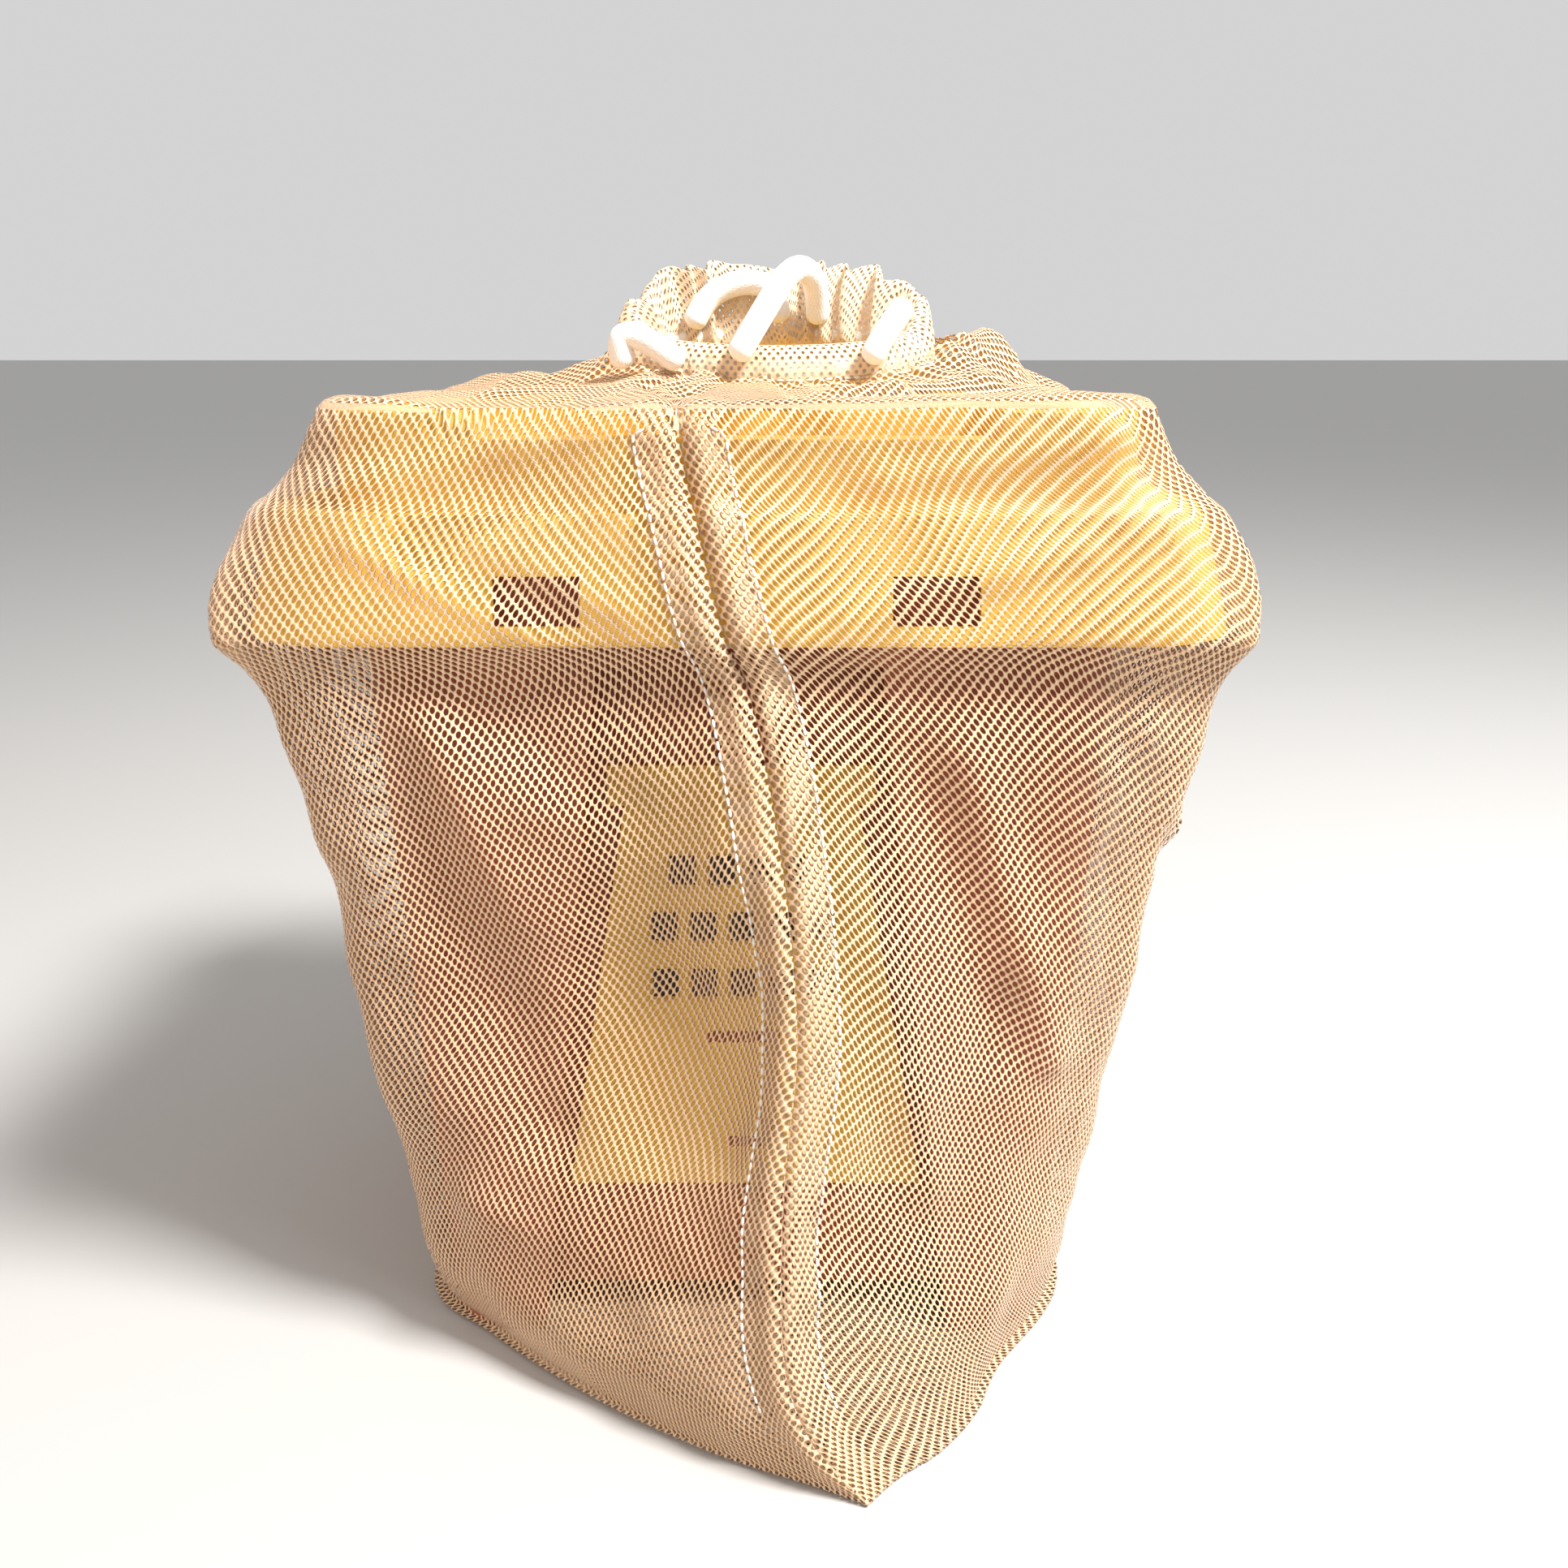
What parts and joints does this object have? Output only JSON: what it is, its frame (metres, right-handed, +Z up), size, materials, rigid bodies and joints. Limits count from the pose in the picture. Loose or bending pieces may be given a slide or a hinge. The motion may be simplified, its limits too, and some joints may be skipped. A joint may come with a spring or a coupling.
{
  "type": "mesh laundry bag",
  "caption": "Knitted mesh laundry bag with a drawstring mouth, standing over the lidded plastic tub it holds.",
  "frame": {"origin": "centre of the floor print, on the floor, half way between the front and the back ear", "axes": "+Z up, +X to the right of someone facing the front seam, front seam towards -Y"},
  "size_m": [0.283, 0.327, 0.3408],
  "materials": {
    "mesh": "warp-knitted polyester mesh, matt",
    "thread": "spun polyester thread",
    "cord": "smooth braided polyester cord",
    "tub_plastic": "moulded, fine grain",
    "lid_plastic": "moulded, satin",
    "dark_plastic": "raised and inked"
  },
  "bodies": {
    "bag": {"left_panel": "mesh", "right_panel": "mesh", "front_seam_allowance_left": "mesh", "front_seam_allowance_right": "mesh", "back_seam_allowance_left": "mesh", "back_seam_allowance_right": "mesh", "front_topstitch_left": "thread", "front_topstitch_right": "thread", "back_topstitch_left": "thread", "back_topstitch_right": "thread", "mouth_casing_left": "mesh", "mouth_casing_right": "mesh", "drawstring_ring": "cord", "tub_body": "tub_plastic", "tub_lid": "lid_plastic", "front_plate": "lid_plastic", "plate_bars": "dark_plastic"},
    "tails": {"drawstring_tail_left": "cord", "drawstring_tail_right": "cord", "tail_knot": "cord", "tail_end_left": "cord", "tail_end_right": "cord"},
    "slack": {"slack_loop_left": "cord", "slack_loop_main": "cord", "slack_loop_back": "cord", "slack_end_right": "cord"}
  },
  "joints": [
    {"name": "drawstring_pull", "type": "slide", "parent": "bag", "child": "tails", "axis": [0, 0.2093, -0.9779], "range_m": [0, 0.05], "deforming": ["drawstring_tail_left", "drawstring_tail_right"]},
    {"name": "slack_draw", "type": "slide", "parent": "bag", "child": "slack", "axis": [0, 0, -1], "range_m": [0, 0.01], "deforming": ["slack_loop_left", "slack_loop_main", "slack_loop_back", "slack_end_right"]}
  ],
  "couplings": [
    {"joint": "slack_draw", "follows": "drawstring_pull", "ratio": 0.2}
  ]
}
